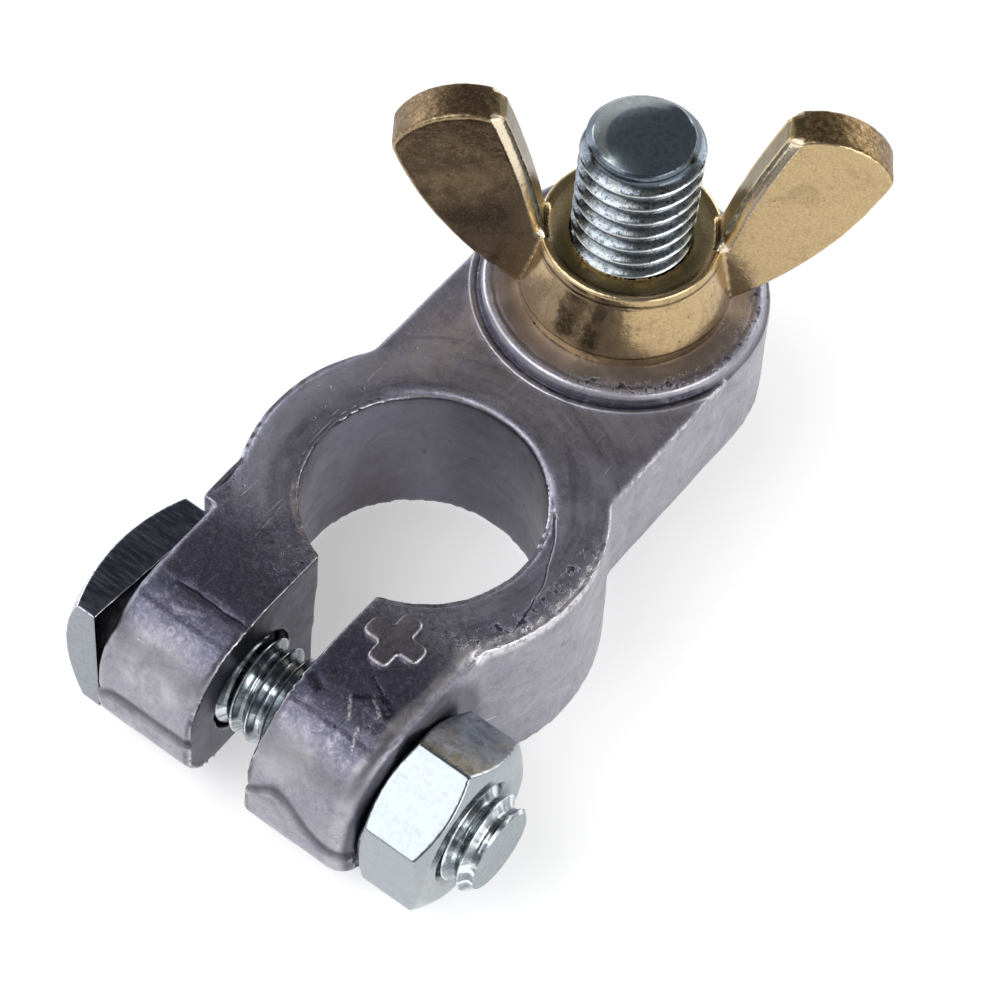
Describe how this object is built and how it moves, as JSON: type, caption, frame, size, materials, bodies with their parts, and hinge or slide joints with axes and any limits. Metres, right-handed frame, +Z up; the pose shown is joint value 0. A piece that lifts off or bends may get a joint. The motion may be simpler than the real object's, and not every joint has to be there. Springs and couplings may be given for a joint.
{
  "type": "battery terminal clamp",
  "caption": "Cast battery post clamp with a split ring, a square-headed clamping bolt and nut, and a threaded stud with a wing nut for a cable lug.",
  "frame": {"origin": "on the axis of the post bore, at the ring's lower face", "axes": "+Z up along the post bore, +Y from the ears towards the tail and its stud, +X along the clamp bolt from its head to its nut"},
  "size_m": [0.0373, 0.0618, 0.0362],
  "materials": {
    "cast_alloy": "die-cast grey alloy, satin, slightly blotchy",
    "plated_steel": "bright zinc plating",
    "yellow_brass": "polished"
  },
  "bodies": {
    "clamp_body": {"clamp_body": "cast_alloy", "terminal_stud": "plated_steel"},
    "clamp_bolt": {"clamp_bolt": "plated_steel"},
    "clamp_nut": {"clamp_nut": "plated_steel"},
    "wing_nut": {"wing_nut": "yellow_brass"}
  },
  "joints": [
    {"name": "clamp_nut_turn", "type": "hinge", "parent": "clamp_body", "child": "clamp_nut", "pos_m": [0, -0.01678, 0.00735], "axis": [1, 0, 0], "range_deg": [0, 1440]},
    {"name": "clamp_bolt_draw", "type": "slide", "parent": "clamp_body", "child": "clamp_bolt", "axis": [-1, 0, 0], "range_m": [0, 0.00564]},
    {"name": "wing_nut_turn", "type": "hinge", "parent": "clamp_body", "child": "wing_nut", "pos_m": [0, 0.0254, 0.0163], "axis": [0, 0, 1], "range_deg": [0, 3600]}
  ],
  "couplings": [
    {"joint": "clamp_nut_turn", "follows": "clamp_bolt_draw", "rad_per_m": 4452.7}
  ]
}
